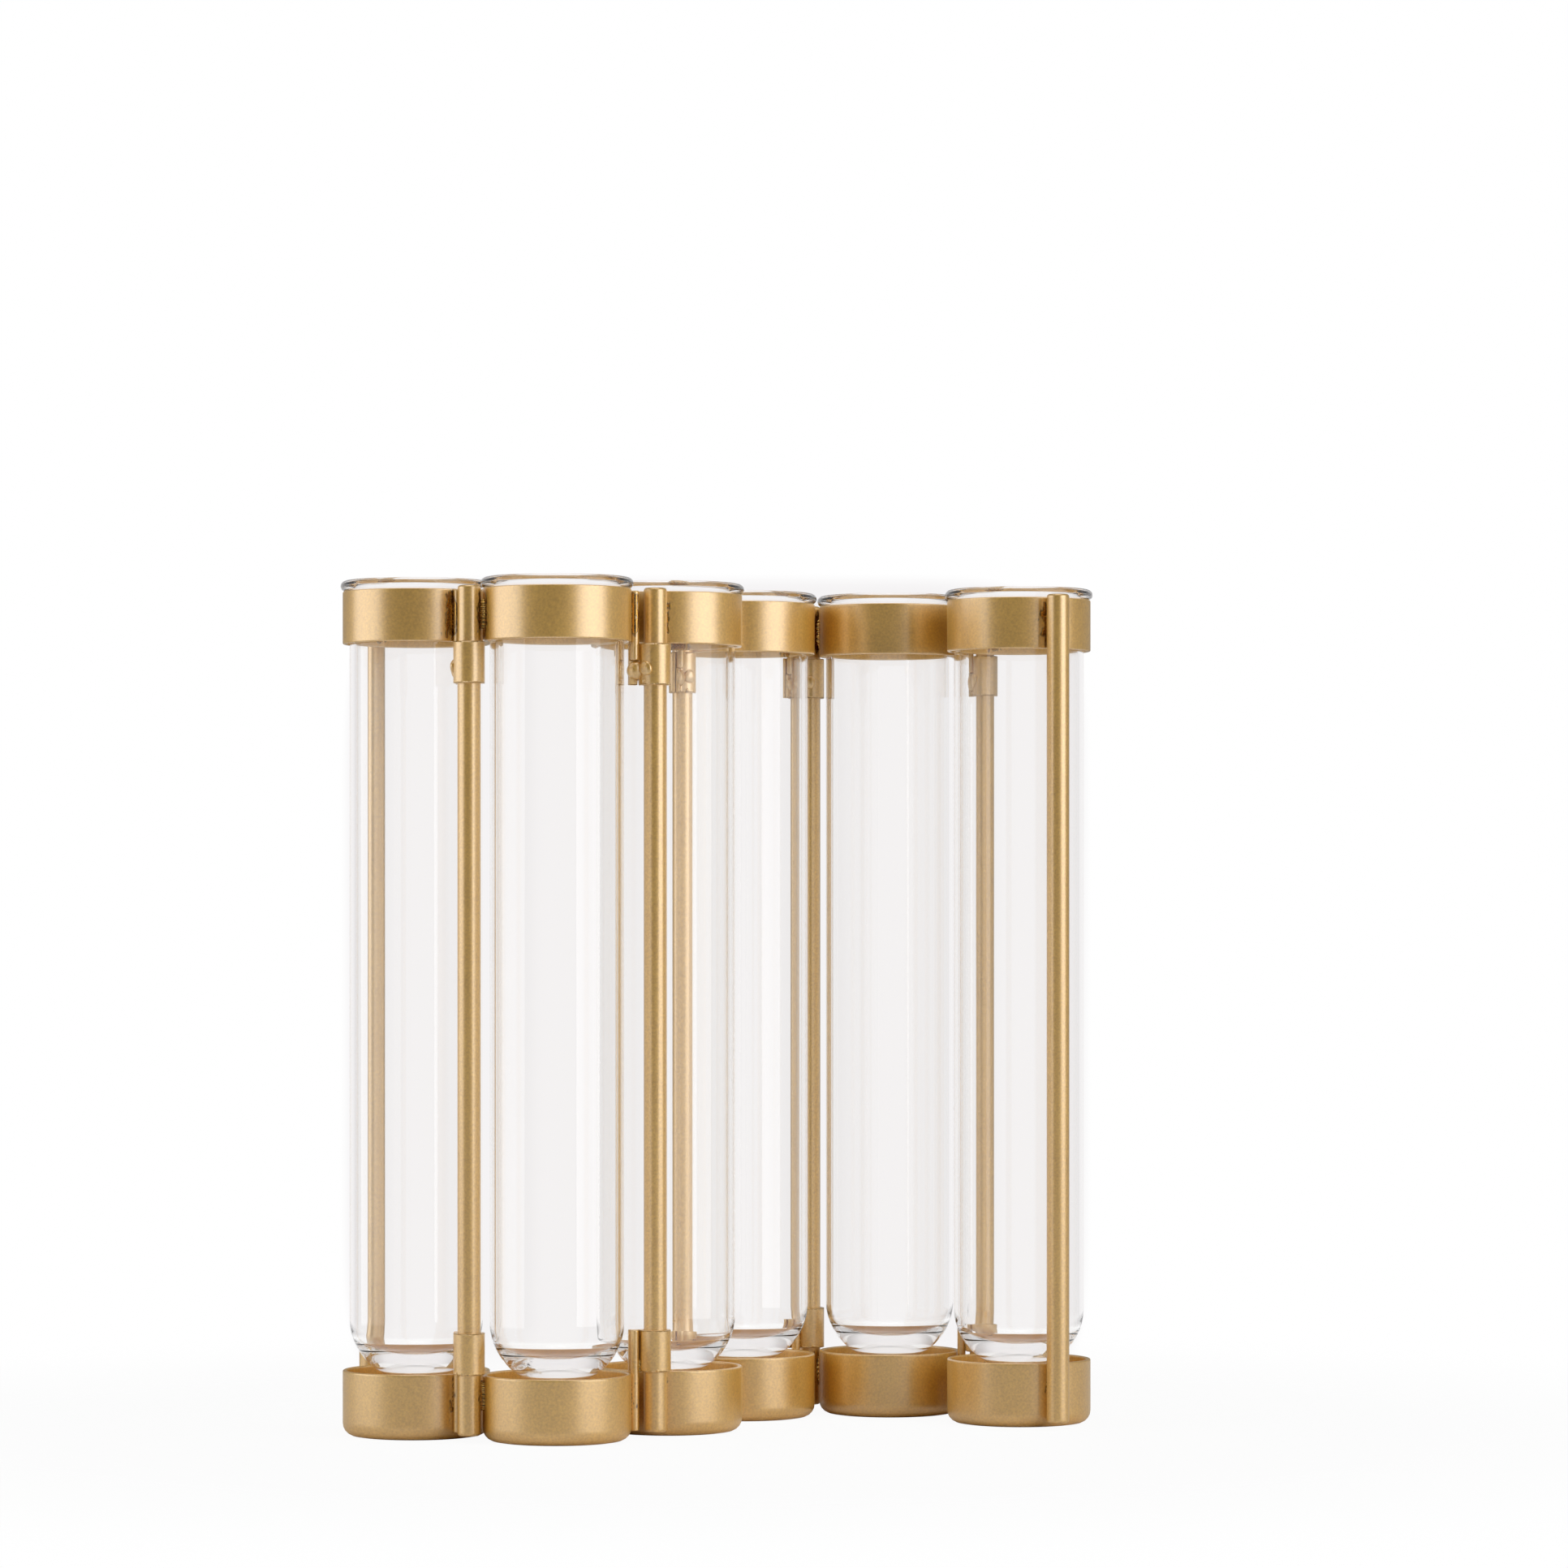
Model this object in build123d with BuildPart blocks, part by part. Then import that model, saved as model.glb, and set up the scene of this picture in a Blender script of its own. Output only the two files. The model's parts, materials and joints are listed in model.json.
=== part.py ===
from build123d import *
import math
import os

# Zigzag vase: glass test tubes hang in round holders that are hinged in a row.
# Lengths are in millimetres, angles in degrees. +Z is up and the cups stand on z = 0.
# The origin lies on the ground, under the middle of the row as it stands at rest.

# Heading of each holder in plan, from its own rod towards the next one, with the row at rest
rest_headings = [-54.7, 13.3, 82.3, 46.4, -18.2, -65.8]

# Glass tube
tube_length = 150.0
tube_radius = 12.5
tube_wall = 1.1
tube_floor = 3.2
tube_dome_depth = 12.0
tube_bore_dome_depth = 6.6
rim_overhang = 1.7
rim_bead_radius = 1.0
rim_mouth_round = 1.2
tube_ground_height = 10.0

# Top ring that carries the rim
ring_clearance = 0.5
ring_wall = 0.8
ring_height = 9.8
ring_edge_round = 0.25
rim_seat_gap = 0.05

# Base cup that steadies the foot of the tube, as wide as the ring
cup_wall = 0.8
cup_height = 12.3
cup_corner_round = 2.4
cup_lip_round = 0.3

# Full-length rods
rod_radius = 2.15
rod_ground_gap = 1.2
rod_stand_proud = 0.4
rod_end_round = 0.55
rod_braze_gap = 0.6

# Short rods, called stubs, that carry the sleeves
stub_radius = 0.8
stub_ground_gap = 1.5
stub_below_ring_top = 0.2
stub_end_round = 0.25
stub_braze_gap = 0.1
stub_sleeve_gap = 0.2

# Hinge sleeves, rolled from strip with its ends brought out as a leaf
sleeve_length = 7.8
sleeve_wall = 0.7
sleeve_edge_round = 0.15
hinge_clearance = 0.06
sleeve_end_gap = 0.15
leaf_reach = 4.9
leaf_root_round = 0.5
stub_leaf_gap = 0.05
stub_overlap_on_leaf = 3.2
leaf_notch_play = 0.15
leaf_slit_width = 0.45
leaf_slit_height = 0.9
weld_button_radius = 0.95
weld_button_height = 0.45
weld_button_edge_round = 0.35
weld_button_above_sleeve_foot = 2.9

# Braze beads between rods and bands, each a short run of lumps
rod_bead_half_width = 1.15
rod_bead_run = 4.5
stub_bead_half_width = 0.65
stub_bead_run = 3.0
sleeve_bead_half_width = 0.45
sleeve_bead_run = 2.4
bead_below_cup_lip = 0.9
bead_neck_inset = 0.2
bead_lump_count = 3

# How far a cut runs past the face it opens
cut_overrun = 1.0

# Most of a wall, and of the button's height, that the rounding of one edge may take
wall_round_share = 0.4
button_round_share = 0.9

# Heights in the holder
rim_top = tube_ground_height + tube_length
rim_underside = rim_top - 2 * rim_bead_radius
ring_top = rim_underside - rim_seat_gap
ring_foot = ring_top - ring_height
rod_top = ring_top + rod_stand_proud
upper_stub_top = ring_top - stub_below_ring_top
upper_sleeve_top = ring_foot - sleeve_end_gap
upper_sleeve_foot = upper_sleeve_top - sleeve_length
upper_stub_foot = upper_sleeve_top - stub_overlap_on_leaf
lower_sleeve_foot = cup_height + sleeve_end_gap
lower_sleeve_top = lower_sleeve_foot + sleeve_length

# Distances in plan, from the tube's axis unless named otherwise
rim_radius = tube_radius + rim_overhang
ring_radius = tube_radius + ring_clearance + ring_wall
cup_radius = ring_radius
sleeve_radius = rod_radius + hinge_clearance + sleeve_wall
rod_offset = ring_radius + rod_braze_gap + rod_radius
stub_offset = ring_radius + stub_braze_gap + stub_radius
stub_from_pin = stub_radius + stub_sleeve_gap + sleeve_radius
pin_offset = stub_offset + stub_from_pin
leaf_back_layer = stub_radius + stub_leaf_gap

up = Vector(0, 0, 1)

os.makedirs("parts", exist_ok=True)


def along(heading):
    """Unit vector in plan that points along a heading."""
    return Vector(math.cos(math.radians(heading)), math.sin(math.radians(heading)))


def lay_out_row():
    """Places of the tubes and rods in plan, with the row's box centred on the origin."""
    tubes = []
    rods = [Vector()]
    for heading in rest_headings:
        tubes.append(rods[-1] + along(heading) * rod_offset)
        rods.append(tubes[-1] + along(heading) * pin_offset)
    # The last holder has a rod brazed on where the others carry sleeves.
    rods[-1] = tubes[-1] + along(rest_headings[-1]) * rod_offset

    rounds = [(place, rim_radius) for place in tubes]
    rounds += [(place, sleeve_radius) for place in rods[1:-1]]
    rounds += [(place, rod_radius) for place in (rods[0], rods[-1])]
    low = Vector(min(p.X - r for p, r in rounds), min(p.Y - r for p, r in rounds))
    high = Vector(max(p.X + r for p, r in rounds), max(p.Y + r for p, r in rounds))
    middle = (low + high) * 0.5
    return [place - middle for place in tubes], [place - middle for place in rods]


def plan_plane(place, heading, height=0):
    """Level plane at a height, centred on an upright axis, with x along the heading."""
    return Plane(origin=place + up * height, x_dir=along(heading), z_dir=up)


def front_plane(place, heading, height=0):
    """Upright plane through an axis, with x along the heading and y up."""
    return Plane(origin=place + up * height, x_dir=along(heading), z_dir=-up.cross(along(heading)))


def save(built, name):
    """Label a finished piece and write it to its own file."""
    built.part.label = name
    export_step(built.part, f"parts/{name}.step")


def make_test_tube(place, heading):
    """Glass tube with a domed foot, an open mouth and a beaded rim."""
    bead_place = rim_radius - rim_bead_radius
    neck_round = bead_place - tube_radius
    bore_radius = tube_radius - tube_wall
    mouth_place = bore_radius + rim_mouth_round
    mouth_foot = rim_top - rim_mouth_round
    dome_edge = tube_ground_height + tube_dome_depth
    floor_top = tube_ground_height + tube_floor
    bore_foot = floor_top + tube_bore_dome_depth
    with BuildPart() as test_tube:
        with BuildSketch(front_plane(place, heading)):
            with BuildLine():
                EllipticalCenterArc((0, dome_edge), tube_radius, tube_dome_depth, 270, arc_size=90)
                Line((tube_radius, dome_edge), (tube_radius, rim_underside - neck_round))
                CenterArc((bead_place, rim_underside - neck_round), neck_round, 180, -90)
                CenterArc((bead_place, rim_top - rim_bead_radius), rim_bead_radius, -90, 180)
                Line((bead_place, rim_top), (mouth_place, rim_top))
                CenterArc((mouth_place, mouth_foot), rim_mouth_round, 90, 90)
                Line((bore_radius, mouth_foot), (bore_radius, bore_foot))
                EllipticalCenterArc((0, bore_foot), bore_radius, tube_bore_dome_depth, 270, arc_size=90)
                Line((0, floor_top), (0, tube_ground_height))
            make_face()
        revolve(axis=Axis(place, up))
    return test_tube


def make_top_ring(place, heading):
    """Plain band that the rim of the tube rests on."""
    with BuildPart() as top_ring:
        with BuildSketch(plan_plane(place, heading, ring_foot)):
            Circle(ring_radius)
            Circle(ring_radius - ring_wall, mode=Mode.SUBTRACT)
        extrude(amount=ring_height)
        edges = top_ring.edges().filter_by(GeomType.CIRCLE)
        fillet(edges, min(ring_edge_round, wall_round_share * ring_wall))
    return top_ring


def make_base_cup(place, heading):
    """Pressed cup with an even wall, a rounded foot and a rounded lip."""
    with BuildPart() as base_cup:
        with BuildSketch(plan_plane(place, heading)):
            Circle(cup_radius)
        extrude(amount=cup_height)
        fillet(base_cup.faces().sort_by(Axis.Z)[0].edges(), cup_corner_round)
        offset(amount=-cup_wall, openings=base_cup.faces().sort_by(Axis.Z)[-1])
        lip = base_cup.faces().sort_by(Axis.Z)[-1]
        fillet(lip.edges(), min(cup_lip_round, wall_round_share * cup_wall))
    return base_cup


def make_rod(place, radius, foot, top, end_round):
    """Upright round rod with softened ends."""
    with BuildPart() as rod:
        with BuildSketch(plan_plane(place, 0, foot)):
            Circle(radius)
        extrude(amount=top - foot)
        fillet(rod.edges().filter_by(GeomType.CIRCLE), end_round)
    return rod


def sleeve_outline(leaf_front):
    """Section of a sleeve: the rolled strip, and its leaf from leaf_front to the back."""
    with BuildSketch() as outline:
        Circle(sleeve_radius)
        with Locations((-leaf_reach, leaf_front)):
            Rectangle(
                leaf_reach,
                leaf_back_layer + sleeve_wall - leaf_front,
                align=(Align.MIN, Align.MIN),
            )
        roots = outline.vertices().sort_by(Axis.X)[2:4]
        fillet(roots, leaf_root_round)
        Circle(rod_radius + hinge_clearance, mode=Mode.SUBTRACT)
    return outline.sketch


def soften_sleeve_ends(sleeve):
    """Round the outer edges of both ends of a sleeve."""
    for end in sleeve.faces().filter_by(Axis.Z):
        fillet(end.outer_wire().edges(), min(sleeve_edge_round, wall_round_share * sleeve_wall))


def make_lower_sleeve(place, heading):
    """Sleeve round the next rod, with one layer of strip behind the stub."""
    with BuildPart() as lower_sleeve:
        with BuildSketch(plan_plane(place, heading, lower_sleeve_foot)):
            add(sleeve_outline(leaf_back_layer))
        extrude(amount=sleeve_length)
        soften_sleeve_ends(lower_sleeve)
    return lower_sleeve


def make_upper_sleeve(place, heading):
    """Sleeve round the next rod, with a double leaf that the stub's foot is let into."""
    leaf_face = front_plane(place, heading, upper_sleeve_foot)
    with BuildPart() as upper_sleeve:
        with BuildSketch(plan_plane(place, heading, upper_sleeve_foot)):
            add(sleeve_outline(0))
        extrude(amount=sleeve_length)
        soften_sleeve_ends(upper_sleeve)
        # The front layer stops below the stub.
        notch_edge = stub_from_pin - stub_radius - leaf_notch_play
        with BuildSketch(plan_plane(place, heading, upper_stub_foot)):
            with Locations((-notch_edge, leaf_back_layer)):
                Rectangle(
                    leaf_reach - notch_edge + cut_overrun,
                    leaf_back_layer + cut_overrun,
                    align=(Align.MAX, Align.MAX),
                )
        extrude(amount=stub_overlap_on_leaf + cut_overrun, mode=Mode.SUBTRACT)
        # Slit at the foot, between the leaf and the rolled part
        with BuildSketch(leaf_face):
            with Locations((-sleeve_radius - leaf_slit_width, 0)):
                Rectangle(leaf_slit_width, 2 * leaf_slit_height)
        extrude(amount=leaf_back_layer + sleeve_wall + cut_overrun, both=True, mode=Mode.SUBTRACT)
        # Button raised on the leaf by the weld
        with BuildSketch(leaf_face):
            with Locations((-stub_from_pin, weld_button_above_sleeve_foot)):
                Circle(weld_button_radius)
        extrude(amount=weld_button_height)
        outward = Axis(leaf_face.origin, leaf_face.z_dir)
        crown = upper_sleeve.faces().filter_by(GeomType.PLANE).sort_by(outward)[-1]
        crown_round = min(weld_button_edge_round, button_round_share * weld_button_height)
        fillet(crown.edges(), crown_round)
    return upper_sleeve


def beads_on_ring(tube_place, joined):
    """Beads that hold the joined rods to the top ring, half-way up it."""
    return [
        (tube_place, ring_radius, place, radius, half_width, ring_foot + (ring_height - run) / 2, run)
        for place, radius, half_width, run in joined
    ]


def beads_on_cup(tube_place, joined):
    """Beads that hold the joined rods to the base cup, just below its lip."""
    beads_top = cup_height - bead_below_cup_lip
    return [
        (tube_place, cup_radius, place, radius, half_width, beads_top - run, run)
        for place, radius, half_width, run in joined
    ]


def make_braze_seams(beads):
    """Braze beads, each filling a valley between two rounds with a run of lumps and necks."""
    steps = 2 * bead_lump_count - 1
    with BuildPart() as braze_seams:
        for place, radius, target, target_radius, half_width, foot, run in beads:
            line = target - place
            for step in range(steps):
                width = 2 * (half_width - bead_neck_inset * (step % 2))
                height = foot + run * step / steps
                with BuildSketch(Plane(origin=place + up * height, x_dir=line, z_dir=up)):
                    Rectangle(line.length, width, align=(Align.MIN, Align.CENTER))
                    Circle(radius, mode=Mode.SUBTRACT)
                    with Locations((line.length, 0)):
                        Circle(target_radius, mode=Mode.SUBTRACT)
                extrude(amount=run / steps)
    return braze_seams


tube_places, rod_places = lay_out_row()
last = len(rest_headings)

for number, heading in enumerate(rest_headings, start=1):
    tube_place = tube_places[number - 1]
    rod_place = rod_places[number - 1]
    next_place = rod_places[number]
    stub_place = tube_place + along(heading) * stub_offset

    save(make_test_tube(tube_place, heading), f"test_tube_{number}")
    save(make_top_ring(tube_place, heading), f"top_ring_{number}")
    save(make_base_cup(tube_place, heading), f"base_cup_{number}")
    hinge_rod = make_rod(rod_place, rod_radius, rod_ground_gap, rod_top, rod_end_round)
    save(hinge_rod, f"hinge_rod_{number}")

    joined = [(rod_place, rod_radius, rod_bead_half_width, rod_bead_run)]
    sleeve_beads = []
    if number == last:
        end_rod = make_rod(next_place, rod_radius, rod_ground_gap, rod_top, rod_end_round)
        save(end_rod, "end_rod")
        joined.append((next_place, rod_radius, rod_bead_half_width, rod_bead_run))
    else:
        upper_stub = make_rod(
            stub_place, stub_radius, upper_stub_foot, upper_stub_top, stub_end_round
        )
        lower_stub = make_rod(
            stub_place, stub_radius, stub_ground_gap, lower_sleeve_top, stub_end_round
        )
        save(upper_stub, f"upper_stub_{number}")
        save(lower_stub, f"lower_stub_{number}")
        save(make_upper_sleeve(next_place, heading), f"upper_sleeve_{number}")
        save(make_lower_sleeve(next_place, heading), f"lower_sleeve_{number}")
        joined.append((stub_place, stub_radius, stub_bead_half_width, stub_bead_run))
        sleeve_beads.append((
            stub_place,
            stub_radius,
            next_place,
            sleeve_radius,
            sleeve_bead_half_width,
            lower_sleeve_foot,
            sleeve_bead_run,
        ))
    save(make_braze_seams(beads_on_ring(tube_place, joined)), f"upper_braze_{number}")
    save(
        make_braze_seams(beads_on_cup(tube_place, joined) + sleeve_beads),
        f"lower_braze_{number}",
    )
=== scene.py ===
"""Folding zigzag vase: six glass test tubes in satin gold holders that are hinged in a row.

Lengths are in millimetres and become metres when a mesh is made. +Z is up, +X runs along the row and
the usual view looks along +Y. Places and heights come from the nodes of the frame.
"""

import json
import logging
import math
from dataclasses import dataclass, field
from enum import Enum

import bpy
import numpy as np
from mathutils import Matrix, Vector


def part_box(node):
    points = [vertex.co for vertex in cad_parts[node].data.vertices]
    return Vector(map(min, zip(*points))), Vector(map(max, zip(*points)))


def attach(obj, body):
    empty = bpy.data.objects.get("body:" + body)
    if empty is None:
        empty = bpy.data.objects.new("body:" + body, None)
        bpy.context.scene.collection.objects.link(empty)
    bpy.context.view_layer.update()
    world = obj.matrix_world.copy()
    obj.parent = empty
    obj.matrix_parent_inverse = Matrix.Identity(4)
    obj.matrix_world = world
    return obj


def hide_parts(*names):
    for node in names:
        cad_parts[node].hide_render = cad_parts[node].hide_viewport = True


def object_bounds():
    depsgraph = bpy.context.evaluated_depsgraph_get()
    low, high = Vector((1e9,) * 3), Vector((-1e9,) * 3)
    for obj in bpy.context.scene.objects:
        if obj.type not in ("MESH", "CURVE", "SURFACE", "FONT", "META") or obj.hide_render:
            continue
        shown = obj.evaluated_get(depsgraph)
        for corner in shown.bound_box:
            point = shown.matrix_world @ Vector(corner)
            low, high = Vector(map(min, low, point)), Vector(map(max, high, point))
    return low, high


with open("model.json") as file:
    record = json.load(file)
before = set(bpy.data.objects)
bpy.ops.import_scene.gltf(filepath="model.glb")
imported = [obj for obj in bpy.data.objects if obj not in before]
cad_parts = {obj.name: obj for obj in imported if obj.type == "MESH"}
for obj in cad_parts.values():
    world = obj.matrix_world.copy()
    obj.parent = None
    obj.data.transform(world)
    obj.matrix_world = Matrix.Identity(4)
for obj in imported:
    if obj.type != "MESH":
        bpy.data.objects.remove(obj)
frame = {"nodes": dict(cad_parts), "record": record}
cad_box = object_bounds()

MM = 0.001
TURN = 2.0 * math.pi
BRAZE_ATTRIBUTE = "braze"
DROP_SEED = 40
BEAD_SEEDS = 10
SAME_PLACE = 1e-6
NOISE_MEAN = 0.5
CORNER_STEPS = 5
CORNER_GUARD = 0.35
MIX_COLOURS = (6, 7)
MIX_RESULT = 2
BODY_OF = {
    node: body for body, nodes in frame["record"]["behaviour"]["bodies"].items() for node in nodes
}

Colour = tuple[float, float, float]
Scalar = "Socket | float"
WHITE: Colour = (1.0, 1.0, 1.0)

log = logging.getLogger("vase")


class Level(Enum):
    """The two heights at which a holder grips its tube and carries its hinges."""

    UPPER = "upper"
    LOWER = "lower"


@dataclass(frozen=True)
class Seat:
    """The box that a CAD node fills at rest, in millimetres."""

    low: np.ndarray
    high: np.ndarray

    @classmethod
    def of(cls, node: str) -> "Seat":
        """Box of one CAD node of the frame."""
        low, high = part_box(node)
        return cls(np.array(low) / MM, np.array(high) / MM)

    @property
    def axis(self) -> np.ndarray:
        """Middle of the box in plan."""
        return (self.low + self.high)[:2] / 2.0

    @property
    def radius(self) -> float:
        """Half the width of a round node."""
        return float(self.high[0] - self.low[0]) / 2.0

    @property
    def foot(self) -> float:
        """Lowest height of the node."""
        return float(self.low[2])

    @property
    def top(self) -> float:
        """Highest height of the node."""
        return float(self.high[2])


def arc(centre: tuple[float, float], radius: float, start: float, end: float, steps: int) -> np.ndarray:
    """Points along an arc from one angle in degrees to another, by equal steps, both ends included."""
    turn = np.radians(np.linspace(start, end, steps + 1))
    return np.array(centre) + radius * np.stack([np.cos(turn), np.sin(turn)], axis=-1)


def line(start: tuple[float, float], end: tuple[float, float], steps: int) -> np.ndarray:
    """Points along a straight line by equal steps, both ends included."""
    share = np.linspace(0.0, 1.0, steps + 1)[:, None]
    return (1.0 - share) * np.array(start) + share * np.array(end)


def join(*runs: np.ndarray) -> np.ndarray:
    """Put runs of points end to end.

    Args:
        runs: The runs in order, each with one point a row.

    Returns:
        All points, without those that stand in the same place as the one before.
    """
    points = np.vstack(runs)
    step = np.linalg.norm(np.diff(points, axis=0), axis=1)
    return points[np.concatenate([[True], step > SAME_PLACE])]


def soften_corner(before: np.ndarray, corner: np.ndarray, after: np.ndarray, radius: float) -> np.ndarray:
    """Replace one corner of an outline by an arc.

    The arc's centre lies on the bisector of the two sides, and the arc turns from one touching point to the
    other by equal angles. One more point stands on each side beside the arc, so that the flat stays flat
    when it is shaded.

    Args:
        before: Point of the outline before the corner.
        corner: The corner itself.
        after: Point of the outline after the corner.
        radius: Radius of the arc, or zero for a corner that stays.

    Returns:
        The points that take the corner's place, one a row.
    """
    if radius <= 0.0:
        return corner[None, :]
    back = (before - corner) / np.linalg.norm(before - corner)
    ahead = (after - corner) / np.linalg.norm(after - corner)
    half = math.acos(float(np.clip(back @ ahead, -1.0, 1.0))) / 2.0
    reach = radius / math.tan(half)
    middle = corner + (back + ahead) / np.linalg.norm(back + ahead) * radius / math.sin(half)
    first, last = corner + back * reach - middle, corner + ahead * reach - middle
    sweep = math.pi - 2.0 * half
    share = np.linspace(0.0, 1.0, CORNER_STEPS + 1)[:, None]
    turned = (np.sin((1.0 - share) * sweep) * first + np.sin(share * sweep) * last) / math.sin(sweep)
    guard = reach + CORNER_GUARD * radius
    guards = [corner + back * guard, corner + ahead * guard]
    return np.vstack([guards[0], middle + turned, guards[1]])


def soften(corners: list[tuple[float, float]], radii: list[float]) -> np.ndarray:
    """Outline through corners that are each softened by their own radius, as a loop.

    Args:
        corners: Corners of the loop in order.
        radii: Radius for each corner.

    Returns:
        The loop's points, one a row, without the first one repeated.
    """
    points = np.array(corners, float)
    around = zip(np.roll(points, 1, axis=0), points, np.roll(points, -1, axis=0), radii)
    return join(*(soften_corner(*corner) for corner in around))


def refine(profile: np.ndarray, longest: float) -> np.ndarray:
    """A profile whose runs are split evenly until none is longer than the longest one allowed."""
    runs = zip(profile[:-1], profile[1:])
    return join(*(line(a, b, max(1, math.ceil(np.linalg.norm(b - a) / longest))) for a, b in runs))


def waves(angle: np.ndarray, seed: int, counts: tuple[int, ...]) -> np.ndarray:
    """Sum of cosines round a circle, each with its own phase, scaled to about one.

    Args:
        angle: Angles in radians.
        seed: Seed of the phases.
        counts: Number of waves in the circle for each cosine.

    Returns:
        The sum at each angle.
    """
    phases = np.random.default_rng(seed).uniform(0.0, TURN, len(counts))
    waves_each = np.cos(np.multiply.outer(np.array(counts), angle) + phases.reshape(-1, *[1] * angle.ndim))
    return waves_each.mean(axis=0)


@dataclass(frozen=True)
class Patch:
    """A place on a round piece that the braze has wetted."""

    angle: float
    height: float
    reach: float
    rise: float
    strength: float

    def share(self, angle: np.ndarray, arc_radius: np.ndarray, height: np.ndarray) -> np.ndarray:
        """Wetness over the surface: a bell that falls off with the arc's length and with the height.

        Args:
            angle: Angles round the piece, in radians.
            arc_radius: Radius at each point.
            height: Height of each point.

        Returns:
            The patch's strength at its middle, falling to zero around it.
        """
        off = (angle - self.angle + math.pi) % TURN - math.pi
        across = off * arc_radius / self.reach
        up = (height - self.height) / self.rise
        return self.strength * np.exp(-(across**2) - up**4)


@dataclass
class Skin:
    """Surface of one piece while it is worked out, in millimetres."""

    points: list[np.ndarray] = field(default_factory=list)
    wetness: list[np.ndarray] = field(default_factory=list)
    faces: list[list[int]] = field(default_factory=list)

    def add_grid(
        self,
        grid: np.ndarray,
        wetness: np.ndarray | None = None,
        loop: bool = False,
        tips: tuple[np.ndarray | None, np.ndarray | None] = (None, None),
    ) -> None:
        """Add a surface given by rows of points, each row a closed ring.

        Neighbouring rows are joined by quads. Seen from outside, the rows follow one another to the left
        of the columns' direction, so that the faces point outwards.

        Args:
            grid: Points as rows by columns by three.
            wetness: Value of the braze attribute at each point.
            loop: Whether the last row joins the first again.
            tips: Points that close the first and the last row by a fan of triangles.
        """
        rows, columns = grid.shape[:2]
        base = sum(len(part) for part in self.points)
        row = np.arange(rows if loop else rows - 1)[:, None]
        column = np.arange(columns)[None, :]
        next_row, next_column = (row + 1) % rows, (column + 1) % columns
        corners = [
            row * columns + column,
            row * columns + next_column,
            next_row * columns + next_column,
            next_row * columns + column,
        ]
        quads = np.stack(np.broadcast_arrays(*corners), axis=-1).reshape(-1, 4)
        self.faces += (base + quads).tolist()
        self.points.append(grid.reshape(-1, 3))
        ring = np.arange(columns)
        after = np.roll(ring, -1)
        tip_number = base + rows * columns
        last = (rows - 1) * columns
        fans = ((tips[0], after, ring), (tips[1], last + ring, last + after))
        for tip, first, second in fans:
            if tip is None:
                continue
            corner = np.full(columns, tip_number)
            self.faces += np.stack([corner, base + first, base + second], axis=-1).tolist()
            self.points.append(np.asarray(tip, float).reshape(1, 3))
            tip_number += 1
        amount = sum(len(part) for part in self.points) - base
        wet = np.zeros(amount)
        if wetness is not None:
            wet[: rows * columns] = wetness.ravel()
        self.wetness.append(wet)

    def settle(self, name: str, node: str, material: bpy.types.Material) -> bpy.types.Object:
        """Make the mesh, give it its material and let it stand for a CAD node.

        Args:
            name: Name of the new piece.
            node: CAD node that the piece replaces, whose body it rides on.
            material: Finish of the piece.

        Returns:
            The finished object, at the origin.
        """
        mesh = bpy.data.meshes.new(name)
        mesh.from_pydata((np.vstack(self.points) * MM).tolist(), [], self.faces)
        mesh.polygons.foreach_set("use_smooth", np.ones(len(mesh.polygons), bool))
        wet = mesh.attributes.new(BRAZE_ATTRIBUTE, "FLOAT", "POINT")
        wet.data.foreach_set("value", np.concatenate(self.wetness).astype(np.float32))
        mesh.materials.append(material)
        mesh.update()
        piece = bpy.data.objects.new(name, mesh)
        bpy.context.scene.collection.objects.link(piece)
        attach(piece, BODY_OF[node])
        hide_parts(node)
        log.info("%s stands for %s on %s: %d faces", name, node, BODY_OF[node], len(mesh.polygons))
        return piece


@dataclass(frozen=True)
class Lathe:
    """Turns a profile round an upright axis."""

    axis: np.ndarray
    columns: int
    seed: int = 0
    out_of_round: float = 0.0
    lobes: tuple[int, ...] = (2, 3, 5)
    patches: tuple[Patch, ...] = ()

    def turn(self, skin: Skin, profile: np.ndarray, loop: bool = False) -> None:
        """Add the turned surface to a skin.

        A point at radius r and height z of the profile goes to (r cos a, r sin a, z) for each angle a, and
        the radius swells by the lobes, in proportion to itself, so that the axis stays closed.

        Args:
            skin: The surface that takes the new faces.
            profile: Radius and height of each point, from the lower axis up the outside and back in.
            loop: Whether the profile closes on itself, away from the axis.
        """
        radius, height = profile[:, 0], profile[:, 1]
        tips: list[np.ndarray | None] = [None, None]
        if not loop:
            tips = [np.array([*self.axis, height[0]]), np.array([*self.axis, height[-1]])]
            radius, height = radius[1:-1], height[1:-1]
        angle = np.linspace(0.0, TURN, self.columns, endpoint=False)
        swell = 1.0 + self.out_of_round * waves(angle, self.seed, self.lobes) / radius.max()
        spread = radius[:, None] * swell[None, :]
        grid = np.stack(
            [
                self.axis[0] + spread * np.cos(angle),
                self.axis[1] + spread * np.sin(angle),
                np.broadcast_to(height[:, None], spread.shape),
            ],
            axis=-1,
        )
        wetness = np.zeros(spread.shape)
        for patch in self.patches:
            wetness = np.maximum(wetness, patch.share(angle[None, :], spread, height[:, None]))
        skin.add_grid(grid, wetness, loop, (tips[0], tips[1]))


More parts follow.
